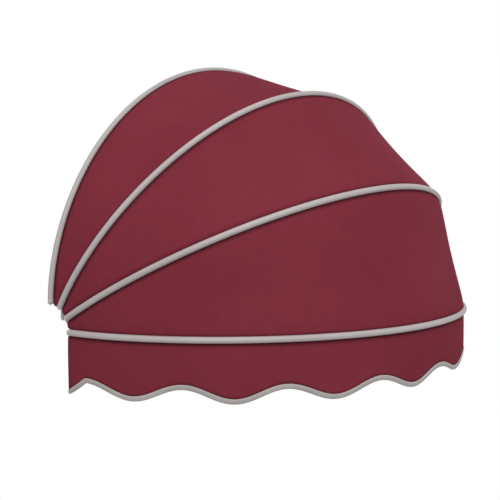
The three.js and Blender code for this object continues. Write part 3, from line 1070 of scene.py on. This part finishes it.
fittingPlan = {
    "leaf": {"edge": 0.0007, "segments": 3, "finish": "casting"},
    "wall_bracket": {"edge": 0.0008, "segments": 3, "finish": "casting"},
    "crown_clip": {"edge": 0.0007, "segments": 3, "finish": "casting"},
    "pivot_bolt": {"edge": 0.0008, "segments": 3, "finish": "steel"},
    "pivot_nut": {"edge": 0.0005, "segments": 2, "finish": "steel"},
    "washer": {"edge": 0.00015, "segments": 1, "finish": "steel"},
    "end_screw": {"edge": 0.0004, "segments": 2, "finish": "steel"},
}
fittingFinish = {
    "casting": (hingeCasting, "hinge_casting"),
    "steel": (fastenerSteel, "fastener_steel"),
}
easePlan = {
    "merge": 0.000005,
    "flat": math.radians(1),  # faces up to this angle become one
    "sharp": math.radians(40),  # edges from this angle are eased
    "mergeEased": 0.000002,
    "smooth": math.radians(30),
}
socketPlan = {
    # hexagon sockets, across the flats
    "pivot_bolt": {"across": 0.004, "depth": 0.002},
    "end_screw": {"across": 0.0025, "depth": 0.0014},
}


def copyFitting(node):
    source = frame["nodes"][node]
    piece = bpy.data.objects.new(node + "_eased", source.data.copy())
    bpy.context.scene.collection.objects.link(piece)
    turnOut(piece, merge=easePlan["merge"], flatten=easePlan["flat"])
    return piece


def roundEdges(piece, plan):
    bevel = piece.modifiers.new("eased", "BEVEL")
    bevel.width = plan["edge"]
    bevel.segments = plan["segments"]
    bevel.limit_method = "ANGLE"
    bevel.angle_limit = easePlan["sharp"]
    bevel.use_clamp_overlap = True
    applyModifiers(piece)
    turnOut(piece, merge=easePlan["mergeEased"], smooth=easePlan["smooth"])


def cutSocket(piece, centre, direction, plan):
    turn = Vector(direction).to_track_quat("Z", "Y").to_euler()
    radius = plan["across"] / math.sqrt(3)
    deselectAll()
    bpy.ops.mesh.primitive_cylinder_add(
        vertices=6, radius=radius, depth=2 * plan["depth"], location=centre, rotation=turn)
    cutter = bpy.context.object
    boolean = piece.modifiers.new("socket", "BOOLEAN")
    boolean.operation = "DIFFERENCE"
    boolean.object = cutter
    applyModifiers(piece)
    bpy.data.objects.remove(cutter)


def socketPlace(node):
    low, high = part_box(node)
    middle = (low + high) / 2
    side = -1 if node.startswith("left") else 1
    if node.endswith("pivot_bolt"):
        return Vector((low.x if side < 0 else high.x, middle.y, middle.z)), (side, 0, 0)
    hoop = node.split("_")[1]
    outward = hoopMatrix(hoop).to_3x3() @ Vector((0, 1, 0))
    origin = Vector(hoopPlan["origin"])
    reach = min((vertex.co - origin).dot(outward) for vertex in frame["nodes"][node].data.vertices)
    return Vector((middle.x, *(origin + outward * reach).yz)), tuple(-outward)


def finishFittings():
    bodies = frame["record"]["behaviour"]["bodies"]
    bodyOf = {name: body for body, names in bodies.items() for name in names}
    count = 0
    for node in sorted(frame["nodes"]):
        kind = next((key for key in fittingPlan if node.endswith(key)), None)
        if kind is None:
            continue
        piece = copyFitting(node)
        if kind in socketPlan:
            cutSocket(piece, *socketPlace(node), socketPlan[kind])
        roundEdges(piece, fittingPlan[kind])
        dress(piece, *fittingFinish[fittingPlan[kind]["finish"]])
        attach(piece, bodyOf[node])
        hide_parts(node)
        count += 1
    return count


print("fittings:", finishFittings())


# floor, backdrop and light

stagePlan = {
    "floor": -1.6,
    "floorSize": 60,
    "floorColour": (0.88, 0.88, 0.88, 1),
    "shadowReach": (0.9, 2.2),  # metres from the awning over which the floor fades into the backdrop
    "world": 0.565,
    "aim": (0, -0.4, 0.2),
    "key": {"place": (-2.6, -2.6, 3.4), "size": 3.0, "power": 128},
    "fill": {"place": (2.8, -3.2, 1.2), "size": 3.0, "power": 22},
}


def whiteRays(tree, place):
    # camera, mirror and glass rays see plain white
    x, y = place
    rays = addNode(tree, "ShaderNodeLightPath", place).outputs
    either = mathNode(tree, "MAXIMUM", (x + 200, y), rays["Is Camera Ray"], rays["Is Glossy Ray"])
    return mathNode(tree, "MAXIMUM", (x + 380, y), either, rays["Is Transmission Ray"])


def mixShaders(tree, share, first, second, output):
    mix = addNode(tree, "ShaderNodeMixShader", (300, 0))
    for socket, value in zip(mix.inputs, (share, first.outputs[0], second.outputs[0])):
        tree.links.new(value, socket)
    tree.links.new(mix.outputs[0], output.inputs["Surface"])


def layFloor(plan):
    deselectAll()
    bpy.ops.mesh.primitive_plane_add(size=plan["floorSize"], location=(0, 0, plan["floor"]))
    floor = bpy.context.object
    floor.name = "floor"
    material = bpy.data.materials.new("paleFloor")
    material.use_nodes = True
    tree = material.node_tree
    tree.nodes.clear()
    output = addNode(tree, "ShaderNodeOutputMaterial", (600, 0))
    matt = addNode(tree, "ShaderNodeBsdfDiffuse", (0, 100))
    matt.inputs["Color"].default_value = plan["floorColour"]
    white = addNode(tree, "ShaderNodeEmission", (0, -100))
    place = objectPlace(tree, (-900, -300))
    length = addNode(tree, "ShaderNodeVectorMath", (-700, -300), operation="LENGTH")
    tree.links.new(place, length.inputs[0])
    far = rangeNode(tree, (-500, -300), length.outputs["Value"], *plan["shadowReach"], 0, 1, smooth=True)
    share = mathNode(tree, "MULTIPLY", (100, -300), far, whiteRays(tree, (-500, 300)))
    mixShaders(tree, share, matt, white, output)
    floor.data.materials.append(material)


def addSoftbox(name, plan, target):
    aim = Vector(target) - Vector(plan["place"])
    turn = aim.to_track_quat("-Z", "Y").to_euler()
    deselectAll()
    bpy.ops.object.light_add(type="AREA", location=plan["place"], rotation=turn)
    lamp = bpy.context.object
    lamp.name = name
    lamp.data.shape = "DISK"
    lamp.data.size = plan["size"]
    lamp.data.energy = plan["power"]


def setWorld(plan):
    world = bpy.data.worlds.new("studio")
    bpy.context.scene.world = world
    world.use_nodes = True
    tree = world.node_tree
    tree.nodes.clear()
    output = addNode(tree, "ShaderNodeOutputWorld", (600, 0))
    soft = addNode(tree, "ShaderNodeBackground", (0, 100))
    soft.inputs["Strength"].default_value = plan["world"]
    white = addNode(tree, "ShaderNodeBackground", (0, -100))
    for shade in (soft, white):
        shade.inputs["Color"].default_value = (1, 1, 1, 1)
    mixShaders(tree, whiteRays(tree, (-600, 300)), soft, white, output)


layFloor(stagePlan)
addSoftbox("keySoftbox", stagePlan["key"], stagePlan["aim"])
addSoftbox("fillSoftbox", stagePlan["fill"], stagePlan["aim"])
setWorld(stagePlan)
deselectAll()
print("stage: floor, two softboxes, world")
